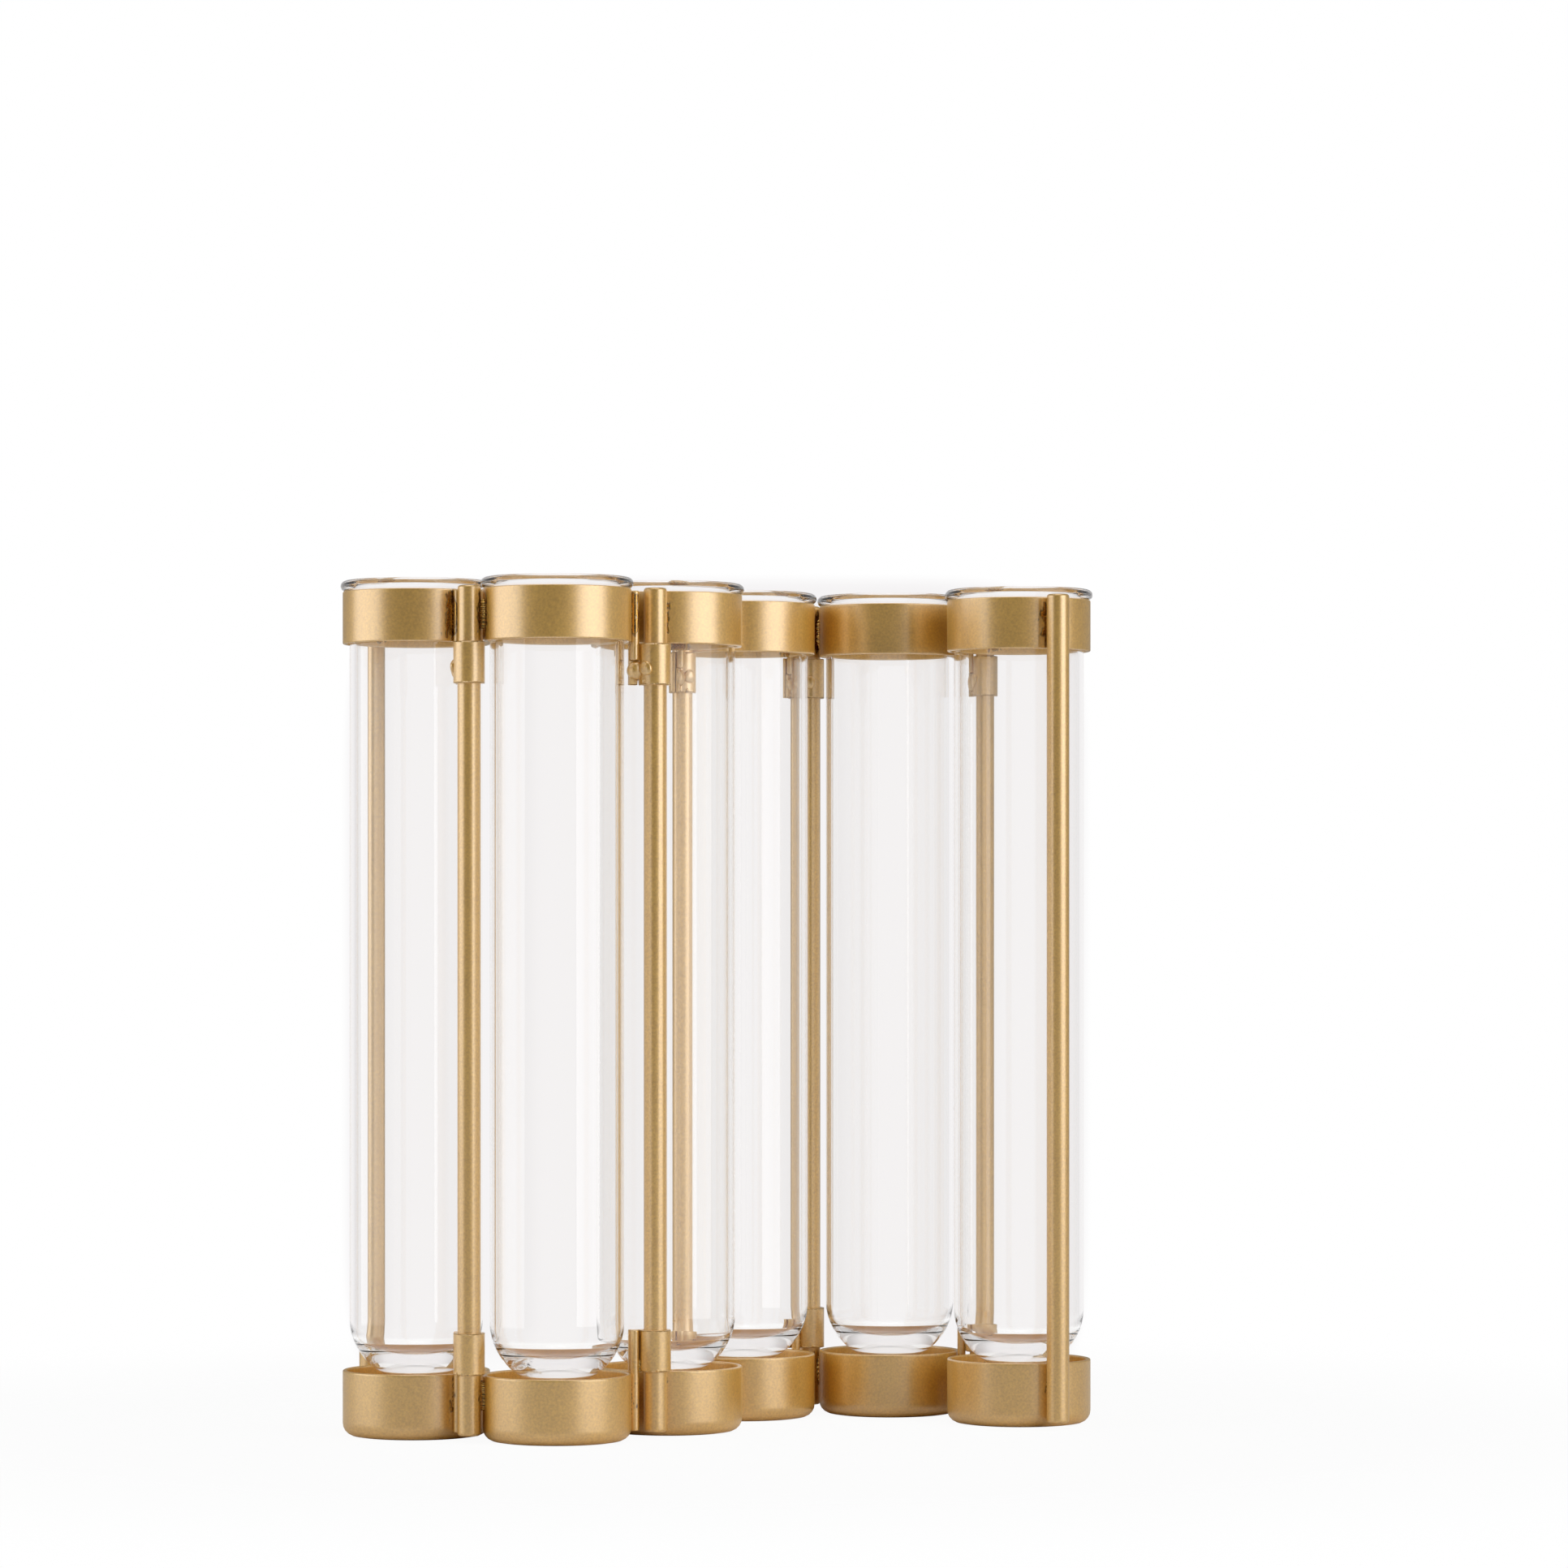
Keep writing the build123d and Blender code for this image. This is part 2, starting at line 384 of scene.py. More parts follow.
@dataclass
class Socket:
    """A shader socket that Python expressions can work on."""

    tree: "NodeTree"
    link: bpy.types.NodeSocket

    def _math(self, operation: str, first: Scalar, second: Scalar) -> "Socket":
        """Add one Math node and return its result."""
        made = self.tree.node("ShaderNodeMath", {"operation": operation}, {0: first, 1: second})
        return Socket(self.tree, made.outputs[0])

    def __add__(self, other: Scalar) -> "Socket":
        """Sum of two values."""
        return self._math("ADD", self, other)

    def __sub__(self, other: Scalar) -> "Socket":
        """Difference of two values."""
        return self._math("SUBTRACT", self, other)

    def __rsub__(self, other: Scalar) -> "Socket":
        """Difference with this value taken away."""
        return self._math("SUBTRACT", other, self)

    def __mul__(self, other: Scalar) -> "Socket":
        """Product of two values."""
        return self._math("MULTIPLY", self, other)

    def __pow__(self, other: Scalar) -> "Socket":
        """This value raised to a power."""
        return self._math("POWER", self, other)

    __radd__ = __add__
    __rmul__ = __mul__

    def clamped(self) -> "Socket":
        """The value kept between zero and one."""
        made = self.tree.node("ShaderNodeClamp", {}, {"Value": self})
        return Socket(self.tree, made.outputs[0])

    def step(self, low: float, high: float) -> "Socket":
        """Smooth step of the value, from zero at low to one at high."""
        made = self.tree.node(
            "ShaderNodeMapRange",
            {"interpolation_type": "SMOOTHSTEP"},
            {"Value": self, "From Min": low, "From Max": high},
        )
        return Socket(self.tree, made.outputs[0])


class NodeTree:
    """A shader tree that is filled by short calls."""

    def __init__(self, owner: bpy.types.Material | bpy.types.World) -> None:
        """Empty the tree of a material or a world.

        Args:
            owner: Material or world whose tree is filled.
        """
        owner.use_nodes = True
        self.nodes = owner.node_tree.nodes
        self.links = owner.node_tree.links
        self.nodes.clear()

    def node(
        self,
        kind: str,
        settings: dict[str, object] | None = None,
        sockets: dict[str | int, object] | None = None,
    ) -> bpy.types.Node:
        """Add one node, with its settings first and then its sockets.

        Args:
            kind: Node type.
            settings: Properties of the node.
            sockets: Values, Socket results or plain outputs, by socket name or number.

        Returns:
            The new node.
        """
        made = self.nodes.new(kind)
        for key, value in (settings or {}).items():
            setattr(made, key, value)
        for key, value in (sockets or {}).items():
            source = value.link if isinstance(value, Socket) else value
            if isinstance(source, bpy.types.NodeSocket):
                self.links.new(source, made.inputs[key])
            else:
                made.inputs[key].default_value = source
        return made

    def value(self, kind: str, output: str, sockets: dict[str | int, object] | None = None) -> Socket:
        """Add one node and wrap the named one of its outputs."""
        return Socket(self, self.node(kind, {}, sockets).outputs[output])

    def place(self, stretch: Colour = (1.0, 1.0, 1.0)) -> bpy.types.NodeSocket:
        """Object coordinates, scaled along each axis."""
        coordinates = self.node("ShaderNodeTexCoord").outputs["Object"]
        return self.node("ShaderNodeMapping", {}, {"Vector": coordinates, "Scale": stretch}).outputs[0]

    def noise(self, size: float, detail: float = 2.0, stretch: Colour = (1.0, 1.0, 1.0)) -> Socket:
        """Noise from zero to one with blots of a size in millimetres and octaves of finer detail."""
        sockets = {"Vector": self.place(stretch), "Scale": 1.0 / (size * MM), "Detail": detail}
        return self.value("ShaderNodeTexNoise", "Fac", sockets)

    def blend(self, amount: Scalar, first: object, second: object) -> bpy.types.NodeSocket:
        """Mix two colours.

        Args:
            amount: Share of the second colour.
            first: Colour, or link that carries one.
            second: Colour, or link that carries one.

        Returns:
            The link that carries the mix.
        """
        at_zero, at_one = MIX_COLOURS
        sockets = {"Factor": amount, at_zero: opaque(first), at_one: opaque(second)}
        return self.node("ShaderNodeMix", {"data_type": "RGBA"}, sockets).outputs[MIX_RESULT]

    def looked(self) -> tuple[Socket, Socket]:
        """Tell the rays that belong to the view from those that only carry light.

        Returns:
            One where a ray comes straight from the camera, and one where it does or where clear glass
            has sent it on.
        """
        path = self.node("ShaderNodeLightPath")
        flags = ("Is Camera Ray", "Is Transmission Ray", "Is Singular Ray")
        camera, through, mirrored = (Socket(self, path.outputs[flag]) for flag in flags)
        return camera, (camera + through + mirrored).clamped()

    def mix_shaders(self, amount: Scalar, first: object, second: object) -> bpy.types.NodeSocket:
        """Mix of two shaders, with the share of the second one."""
        return self.node("ShaderNodeMixShader", {}, {0: amount, 1: first, 2: second}).outputs[0]


def opaque(colour: object) -> object:
    """A colour with its alpha, or the link that it already is."""
    return (*colour, 1.0) if isinstance(colour, tuple) else colour


@dataclass(frozen=True)
class SatinGold:
    """Fine-grained gold lacquer, browner and glossier where the braze has run."""

    name: str = "satin_gold"
    light: Colour = (0.91, 0.53, 0.06)
    deep: Colour = (0.68, 0.35, 0.016)
    burnt: Colour = (0.28, 0.14, 0.012)
    edge: Colour = (0.09, 0.04, 0.008)
    metallic: float = 0.5
    roughness: float = 0.42
    wet_roughness: float = 0.2
    coat: float = 1.0
    coat_roughness: float = 0.32
    coat_index: float = 2.85
    grain_size: float = 0.42
    grain_height: float = 0.006
    cloud_size: float = 9.0
    ripple_size: float = 0.8
    ripple_height: float = 0.10
    ripple_stretch: Colour = (1.0, 1.0, 0.45)
    everywhere_wet: float = 0.0
    fray: float = 1.1
    fray_edge: tuple[float, float] = (0.4, 0.6)
    grain_contrast: float = 2.2
    cloud_contrast: float = 0.6
    burnt_share: float = 0.7
    edge_strength: float = 3.0
    cloud_gloss: float = 0.12
    grain_gloss: float = 0.1
    coat_loss: float = 0.7

    def make(self) -> bpy.types.Material:
        """Build the material.

        The colour wanders between its light and deep tone with the grain. Where the braze attribute,
        frayed by noise, is high, the surface is burnt, glossier and rippled, with a dark line along the
        edge of the trace.

        Returns:
            The finished material.
        """
        material = bpy.data.materials.new(self.name)
        tree = NodeTree(material)
        grain = tree.noise(self.grain_size)
        cloud = tree.noise(self.cloud_size, 1.0)
        ripple = tree.noise(self.ripple_size, 1.0, self.ripple_stretch)
        braze = tree.value("ShaderNodeAttribute", "Fac")
        braze.link.node.attribute_name = BRAZE_ATTRIBUTE
        frayed = braze + self.everywhere_wet + (ripple - NOISE_MEAN) * self.fray
        wet = frayed.step(*self.fray_edge)
        fine, broad = grain - NOISE_MEAN, cloud - NOISE_MEAN
        tone = (NOISE_MEAN + fine * self.grain_contrast + broad * self.cloud_contrast).clamped()
        trace = tree.blend(wet * self.burnt_share, tree.blend(tone, self.deep, self.light), self.burnt)
        colour = tree.blend(wet * (1.0 - wet) * self.edge_strength, trace, self.edge)
        spread = self.roughness + broad * self.cloud_gloss + fine * self.grain_gloss
        roughness = spread + wet * (self.wet_roughness - self.roughness)
        relief = grain * (self.grain_height * MM) + ripple * wet * (self.ripple_height * MM)
        bump = tree.node("ShaderNodeBump", {}, {"Height": relief, "Strength": 1.0, "Distance": 1.0})
        surface = tree.node(
            "ShaderNodeBsdfPrincipled",
            {},
            {
                "Base Color": colour,
                "Metallic": self.metallic + wet * (1.0 - self.metallic),
                "Roughness": roughness,
                "Normal": bump.outputs[0],
                "Coat Weight": self.coat - wet * self.coat_loss,
                "Coat Roughness": self.coat_roughness,
                "Coat IOR": self.coat_index,
            },
        )
        tree.node("ShaderNodeOutputMaterial", {}, {"Surface": surface.outputs[0]})
        return material


@dataclass(frozen=True)
class ClearGlass:
    """Clear drawn glass with faint streaks, grey where the view runs along the wall."""

    name: str = "clear_glass"
    tint: Colour = (0.997, 0.995, 0.99)
    shadow_tint: Colour = (0.95, 0.948, 0.945)
    depth_colour: Colour = (0.82, 0.82, 0.83)
    depth_density: float = 10.0
    index: float = 1.5
    streak_size: float = 1.6
    streak_height: float = 0.0012
    streak_stretch: Colour = (1.0, 1.0, 0.02)

    def make(self) -> bpy.types.Material:
        """Build the material.

        Lamp rays pass straight through a pale tint, all other rays are refracted. The relief is a noise
        that is long along the tube, as drawing leaves it.

        Returns:
            The finished material.
        """
        material = bpy.data.materials.new(self.name)
        tree = NodeTree(material)
        streak = tree.noise(self.streak_size, 2.0, self.streak_stretch)
        relief = streak * (self.streak_height * MM)
        bump = tree.node("ShaderNodeBump", {}, {"Height": relief, "Strength": 1.0, "Distance": 1.0})
        glass = tree.node(
            "ShaderNodeBsdfPrincipled",
            {},
            {
                "Base Color": opaque(self.tint),
                "Roughness": 0.0,
                "IOR": self.index,
                "Transmission Weight": 1.0,
                "Normal": bump.outputs[0],
            },
        )
        passing = tree.node("ShaderNodeBsdfTransparent", {}, {"Color": opaque(self.shadow_tint)})
        shadow = tree.value("ShaderNodeLightPath", "Is Shadow Ray")
        surface = tree.mix_shaders(shadow, glass.outputs[0], passing.outputs[0])
        depth = tree.node(
            "ShaderNodeVolumeAbsorption",
            {},
            {"Color": opaque(self.depth_colour), "Density": self.depth_density},
        )
        tree.node("ShaderNodeOutputMaterial", {}, {"Surface": surface, "Volume": depth.outputs[0]})
        return material


@dataclass(frozen=True)
class StageWhite:
    """White floor that keeps a soft part of the object's shadow near it."""

    name: str = "stage_white"
    colour: Colour = (0.9, 0.9, 0.9)
    own_glow_share: float = 0.94
    fade_from: float = 110.0
    fade_to: float = 260.0

    def make(self) -> bpy.types.Material:
        """Build the material.

        To the camera and through glass, the floor is partly lit and partly plain white, and further out
        it clears away before the white background.

        Returns:
            The finished material.
        """
        material = bpy.data.materials.new(self.name)
        tree = NodeTree(material)
        reach = tree.node("ShaderNodeVectorMath", {"operation": "LENGTH"}, {0: tree.place()})
        far = Socket(tree, reach.outputs["Value"]).step(self.fade_from * MM, self.fade_to * MM)
        seen = tree.looked()[1]
        lit = tree.node("ShaderNodeBsdfDiffuse", {}, {"Color": opaque(self.colour)})
        white = tree.node("ShaderNodeEmission", {}, {"Strength": 1.0})
        near = tree.mix_shaders(seen * self.own_glow_share, lit.outputs[0], white.outputs[0])
        clear = tree.node("ShaderNodeBsdfTransparent")
        surface = tree.mix_shaders(seen * far, near, clear.outputs[0])
        tree.node("ShaderNodeOutputMaterial", {}, {"Surface": surface})
        return material


@dataclass
class TestTube:
    """Glass tube with a domed foot, an open mouth and a beaded rim."""

    number: int
    glass: bpy.types.Material
    wall: float = 1.1
    foot_wall: float = 3.2
    dome_depth: float = 12.0
    bore_dome_depth: float = 6.6
    rim_overhang: float = 1.7
    bead_radius: float = 1.0
    mouth_round: float = 1.2
    out_of_round: float = 0.03
    columns: int = 160
    row_length: float = 6.0
    dome_steps: int = 48
    neck_steps: int = 8
    bead_steps: int = 20
    mouth_steps: int = 12

    def profile(self, seat: Seat) -> np.ndarray:
        """Radius and height from the foot's middle, up the outside, over the rim and down the inside.

        The foot is half an ellipse, and the bore ends in a flatter one, so that the glass is thickest at
        the lowest point. The neck turns outwards into the bead, and the mouth has a rounded edge of its
        own.

        Args:
            seat: Box of the CAD tube.

        Returns:
            One point a row.
        """
        radius = seat.radius - self.rim_overhang
        bore = radius - self.wall
        bead = seat.radius - self.bead_radius
        neck, mouth = bead - radius, self.mouth_round
        edge = seat.foot + self.dome_depth
        underside = seat.top - 2.0 * self.bead_radius
        quarter = arc((0.0, 0.0), 1.0, -90.0, 0.0, self.dome_steps)
        outer_dome = quarter * (radius, self.dome_depth) + (0.0, edge)
        inner_edge = seat.foot + self.foot_wall + self.bore_dome_depth
        inner_dome = (quarter * (bore, self.bore_dome_depth) + (0.0, inner_edge))[::-1]
        rows = math.ceil(seat.top / self.row_length)
        return join(
            outer_dome,
            line((radius, edge), (radius, underside - neck), rows),
            arc((bead, underside - neck), neck, 180.0, 90.0, self.neck_steps),
            arc((bead, seat.top - self.bead_radius), self.bead_radius, -90.0, 90.0, self.bead_steps),
            arc((bore + mouth, seat.top - mouth), mouth, 90.0, 180.0, self.mouth_steps),
            line((bore, seat.top - mouth), (bore, inner_edge), rows),
            inner_dome,
        )

    def build(self) -> None:
        """Build the tube in place of its CAD node."""
        node = f"test_tube_{self.number}"
        seat = Seat.of(node)
        skin = Skin()
        lathe = Lathe(seat.axis, self.columns, self.number, self.out_of_round)
        lathe.turn(skin, self.profile(seat))
        skin.settle(f"glass_tube_{self.number}", node, self.glass)


@dataclass
class Band:
    """Thin-walled metal round the tube's axis, a little out of round."""

    number: int
    gold: bpy.types.Material
    patches: tuple[Patch, ...]
    wall: float = 0.8
    out_of_round: float = 0.05
    columns: int = 192
    row_length: float = 0.8

    def turn(self, name: str, node: str, profile: np.ndarray, loop: bool = False) -> None:
        """Turn a profile round the axis of a CAD node and let the surface stand for the node.

        Args:
            name: Name of the new piece.
            node: CAD node that the piece replaces.
            profile: Radius and height of each point.
            loop: Whether the profile closes on itself.
        """
        skin = Skin()
        axis = Seat.of(node).axis
        lathe = Lathe(axis, self.columns, self.number, self.out_of_round, patches=self.patches)
        lathe.turn(skin, profile, loop)
        skin.settle(name, node, self.gold)


@dataclass
class TopRing(Band):
    """Plain band that carries the rim of the tube."""

    edge_round: float = 0.25

    def build(self) -> None:
        """Build the band in place of its CAD node, as a closed loop turned round the tube."""
        node = f"top_ring_{self.number}"
        seat = Seat.of(node)
        bore = seat.radius - self.wall
        corners = [(bore, seat.foot), (seat.radius, seat.foot), (seat.radius, seat.top), (bore, seat.top)]
        loop = soften(corners, [self.edge_round] * len(corners))
        profile = refine(np.vstack([loop, loop[:1]]), self.row_length)[:-1]
        self.turn(f"ring_band_{self.number}", node, profile, loop=True)


@dataclass
class BaseCup(Band):
    """Pressed cup with an even wall, a rounded foot and a rounded lip."""

    foot_round: float = 2.4
    lip_round: float = 0.3

    def build(self) -> None:
        """Build the cup in place of its CAD node, from the foot's middle over the lip to the inner floor."""
        node = f"base_cup_{self.number}"
        seat = Seat.of(node)
        bore, floor = seat.radius - self.wall, seat.foot + self.wall
        corners = [
            (0.0, seat.foot),
            (seat.radius, seat.foot),
            (seat.radius, seat.top),
            (bore, seat.top),
            (bore, floor),
            (0.0, floor),
        ]
        rounds = [0.0, self.foot_round, self.lip_round, self.lip_round, self.foot_round - self.wall, 0.0]
        self.turn(f"cup_shell_{self.number}", node, refine(soften(corners, rounds), self.row_length))


@dataclass
class RoundRod:
    """Upright rod with softened ends: a hinge rod, the end rod or a stub."""

    node: str
    name: str
    gold: bpy.types.Material
    patches: tuple[Patch, ...]
    end_round: float
    columns: int = 56
    row_length: float = 1.2

    def build(self) -> None:
        """Build the rod in place of its CAD node."""
        seat = Seat.of(self.node)
        corners = [(0.0, seat.foot), (seat.radius, seat.foot), (seat.radius, seat.top), (0.0, seat.top)]
        profile = refine(soften(corners, [0.0, self.end_round, self.end_round, 0.0]), self.row_length)
        skin = Skin()
        Lathe(seat.axis, self.columns, patches=self.patches).turn(skin, profile)
        skin.settle(self.name, self.node, self.gold)


@dataclass(frozen=True)
class Bearing:
    """Local directions at an upright axis: ahead along a heading, and aside to its left."""

    origin: np.ndarray
    heading: float

    @classmethod
    def towards(cls, start: np.ndarray, end: np.ndarray) -> "Bearing":
        """Directions at one place in plan, with ahead towards another."""
        return cls(start, math.atan2(end[1] - start[1], end[0] - start[0]))

    def points(self, ahead: np.ndarray, aside: np.ndarray, height: np.ndarray) -> np.ndarray:
        """Turn local places into places in the frame.

        Args:
            ahead: Distances along the heading.
            aside: Distances to the left of the heading.
            height: Heights.

        Returns:
            The places, with X, Y and Z along the last axis.
        """
        along, across = math.cos(self.heading), math.sin(self.heading)
        x = self.origin[0] + ahead * along - aside * across
        y = self.origin[1] + ahead * across + aside * along
        return np.stack(np.broadcast_arrays(x, y, height), axis=-1)


@dataclass(frozen=True)
class Drop:
    """Soft drop of weld metal on an upright face: half an ellipsoid, slightly out of round."""

    place: tuple[float, float, float]
    facing: float
    radius: float
    proud: float
    seed: int
    sunk: float = 0.35
    last_turn: float = 80.0
    out_of_round: float = 0.07
    lobes: tuple[int, ...] = (2, 3)
    columns: int = 40
    rows: int = 9

    def add_to(self, skin: Skin, bearing: Bearing) -> None:
        """Add the drop to a skin.

        Args:
            skin: The surface that takes the new faces.
            bearing: Directions in which the drop's place is given.
        """
        angle = np.linspace(0.0, TURN, self.columns, endpoint=False)
        turn = np.radians(np.linspace(0.0, self.last_turn, self.rows))[:, None]
        reach = self.radius * np.cos(turn) * (1.0 + self.out_of_round * waves(angle, self.seed, self.lobes))
        along, out = reach * np.cos(angle), np.broadcast_to(self.proud * np.sin(turn), reach.shape)
        along = np.concatenate([along[:1], along])
        out = np.concatenate([out[:1] - self.sunk, out])
        height = self.place[2] + np.concatenate([reach[:1], reach]) * np.sin(angle)
        facing = math.radians(self.facing)
        across = (-math.sin(facing), math.cos(facing))
        ahead = self.place[0] + out * math.cos(facing) + along * across[0]
        aside = self.place[1] + out * math.sin(facing) + along * across[1]
        grid = bearing.points(ahead, aside, height)
        crown = self.proud * np.array([math.cos(facing), math.sin(facing)])
        low = grid[0].mean(axis=0)
        high = bearing.points(*(np.array(self.place[:2]) + crown), np.array(self.place[2]))
        skin.add_grid(grid, tips=(low, high))


@dataclass
class RolledSleeve:
    """Hinge sleeve rolled from one strip, whose ends are brought out as a leaf behind the stub."""

    number: int
    level: Level
    gold: bpy.types.Material
    wall: float = 0.7
    running_gap: float = 0.06
    leaf_reach: float = 4.9
    back_layer: float = 0.85
    front_layer: float = 0.02
    root_round: float = 0.5
    edge_round: float = 0.15
    butt_angle: float = 166.0
    notch_play: float = 0.15
    notch_ramp: float = 0.12
    slit_width: float = 0.45
    slit_height: float = 0.9
    button_radius: float = 1.3
    button_height: float = 0.5
    button_rise: float = 2.7
    button_shift: float = 0.25
    lump_radius: float = 1.35
    lump_height: float = 0.65
    lump_rise: float = 3.1
    lump_facing: float = -140.0
    spatter_radius: float = 0.34
    spatter_height: float = 0.26
    spatter_turn: float = 45.0
    leaf_facing: float = -90.0
    foot_drop_facings: tuple[float, float] = (-125.0, -85.0)
    button_swellings: tuple[float, float] = (1.0, 1.4)
    spatter_rises: tuple[float, float] = (0.5, 0.9)
    side_rows: int = 14
    corner_steps: int = 4
    edge_stops: int = 5
    leaf_steps: int = 60
    roll_steps: int = 84
    back_bend_steps: int = 12
    front_bend_steps: int = 30

    def __post_init__(self) -> None:
        """Read the places of the sleeve, its pin and its stub from the frame."""
        self.node = f"{self.level.value}_sleeve_{self.number}"
        self.seat = Seat.of(self.node)
        self.pin = Seat.of(f"hinge_rod_{self.number + 1}")
        self.stub = Seat.of(f"{self.level.value}_stub_{self.number}")
        self.bore = self.pin.radius + self.running_gap
        back = Bearing.towards(self.stub.axis, self.pin.axis)
        self.bearing = Bearing(self.pin.axis, back.heading)
        self.stub_ahead = -float(np.linalg.norm(self.stub.axis - self.pin.axis))

    def strip_path(self) -> tuple[np.ndarray, np.ndarray]:
        """Middle line of the strip in plan.

        It starts at the free end of the leaf's back layer, bends onto a circle round the pin and follows
        it. A lower sleeve ends there, with its cut edge against the leaf. An upper one bends out again
        and runs back as the leaf's front layer. Both bends are arcs that touch the circle from outside,
        so the distance between the two centres is the sum of their radii.

        Returns:
            The points, and for each a one where it lies on the front layer or its bend, else a zero.
        """
        circle = self.bore + self.wall / 2.0
        bend = self.root_round + self.wall / 2.0
        back = self.back_layer + self.wall / 2.0
        turn_back = math.asin((back + bend) / (circle + bend))
        root_back = -(circle + bend) * math.cos(turn_back)
        leave = 180.0 - math.degrees(turn_back)
        rolled = join(
            line((-self.leaf_reach, back), (root_back, back), self.leaf_steps),
            arc((root_back, back + bend), bend, -90.0, -math.degrees(turn_back), self.back_bend_steps),
        )
        if self.level is Level.LOWER:
            butt = self.butt_angle - 360.0
            points = join(rolled, arc((0.0, 0.0), circle, leave, butt, self.roll_steps))
            return points, np.zeros(len(points))
        front = self.front_layer + self.wall / 2.0
        turn_front = math.asin((bend - front) / (circle + bend))
        root_front = -(circle + bend) * math.cos(turn_front)
        arrive = math.degrees(turn_front) - 180.0
        rolled = join(rolled, arc((0.0, 0.0), circle, leave, arrive, self.roll_steps))
        points = join(
            rolled,
            arc((root_front, front - bend), bend, math.degrees(turn_front), 90.0, self.front_bend_steps),
            line((root_front, front), (-self.leaf_reach, front), self.leaf_steps),
        )
        return points, (np.arange(len(points)) >= len(rolled)).astype(float)

    def stations(self) -> tuple[np.ndarray, np.ndarray, np.ndarray]:
        """Stations along the strip, closer together at its two ends, which are rounded.

        The last stretch before an end is as long as the edge's radius, and there the section draws in
        by a quarter circle.

        Returns:
            The points, the front layer's flag and how far the section is drawn in.
        """
        points, front = self.strip_path()
        travel = np.concatenate([[0.0], np.cumsum(np.linalg.norm(np.diff(points, axis=0), axis=1))])
        near = self.edge_round * (1.0 - np.cos(np.linspace(0.0, TURN / 4.0, self.edge_stops)))
        inner = travel[(travel > self.edge_round) & (travel < travel[-1] - self.edge_round)]
        stops = np.concatenate([near, inner, travel[-1] - near[::-1]])
        placed = np.stack([np.interp(stops, travel, points[:, axis]) for axis in (0, 1)], axis=-1)
        to_end = np.minimum(np.minimum(stops, travel[-1] - stops) / self.edge_round, 1.0)
        drawn = self.edge_round * (1.0 - np.sqrt(1.0 - (1.0 - to_end) ** 2))
        return placed, np.interp(stops, travel, front), drawn

    def section(self) -> tuple[np.ndarray, np.ndarray, np.ndarray]:
        """Section of the strip: an upright bar with softened corners.

        Returns:
            For each point of the loop its place across the strip, its share of the strip's height, and
            its offset in height from that share.
        """
        half, soft = self.wall / 2.0, self.edge_round
        corner = arc((0.0, 0.0), soft, 0.0, 90.0, self.corner_steps)
        low = corner[::-1] * (1.0, -1.0) + (half - soft, soft)
        high = corner + (half - soft, -soft)
        rise = (1.0 - np.cos(np.linspace(0.0, TURN / 2.0, self.side_rows + 2)[1:-1])) / 2.0
        across = np.concatenate([low[:, 0], np.full(self.side_rows, half), high[:, 0]])
        share = np.concatenate([np.zeros(len(low)), rise, np.ones(len(high))])
        offset = np.concatenate([low[:, 1], np.zeros(self.side_rows), high[:, 1]])
        return (
            np.concatenate([across, -across[::-1]]),
            np.concatenate([share, share[::-1]]),
            np.concatenate([offset, offset[::-1]]),
        )

    def build(self) -> None:
        """Build the sleeve in place of its CAD node.

        The section is carried along the strip's middle line, square to it. Where the front layer stops
        below the stub, and at the slit beside the leaf's root, the strip's top or foot steps by a short
        ramp.
        """
        points, front, drawn = self.stations()
        tangent = np.gradient(points, axis=0)
        tangent /= np.linalg.norm(tangent, axis=1, keepdims=True)
        right = np.stack([tangent[:, 1], -tangent[:, 0]], axis=-1)
        foot = self.seat.foot + drawn
        top = self.seat.top - drawn
        if self.level is Level.UPPER:
            notch = self.stub_ahead + self.stub.radius + self.notch_play
            cut = np.clip((notch - points[:, 0]) / self.notch_ramp + 0.5, 0.0, 1.0) * front
            top = top - (self.seat.top - self.stub.foot) * cut
            middle = -(self.bore + self.wall) - self.slit_width / 2.0
            inside = (self.slit_width / 2.0 - np.abs(points[:, 0] - middle)) / self.notch_ramp + 0.5
            foot = foot + self.slit_height * np.clip(inside, 0.0, 1.0)
        across, share, offset = self.section()
        narrow = 1.0 - drawn[:, None] / (self.wall / 2.0)
        place = points[:, None, :] + right[:, None, :] * (narrow * across)[..., None]
        height = foot[:, None] + (top - foot)[:, None] * share + offset
        grid = self.bearing.points(place[..., 0], place[..., 1], height)[::-1]
        skin = Skin()
        skin.add_grid(grid, tips=(grid[0].mean(axis=0), grid[-1].mean(axis=0)))
        for drop in self.drops():
            drop.add_to(skin, self.bearing)
        skin.settle(f"{self.level.value}_knuckle_{self.number}", self.node, self.gold)

    def flank(self, radius: float, facing: float, rise: float) -> tuple[float, float, float]:
        """Place on the sleeve's round, at an angle in degrees and a rise above its foot."""
        turn = math.radians(facing)
        return radius * math.cos(turn), radius * math.sin(turn), self.seat.foot + rise

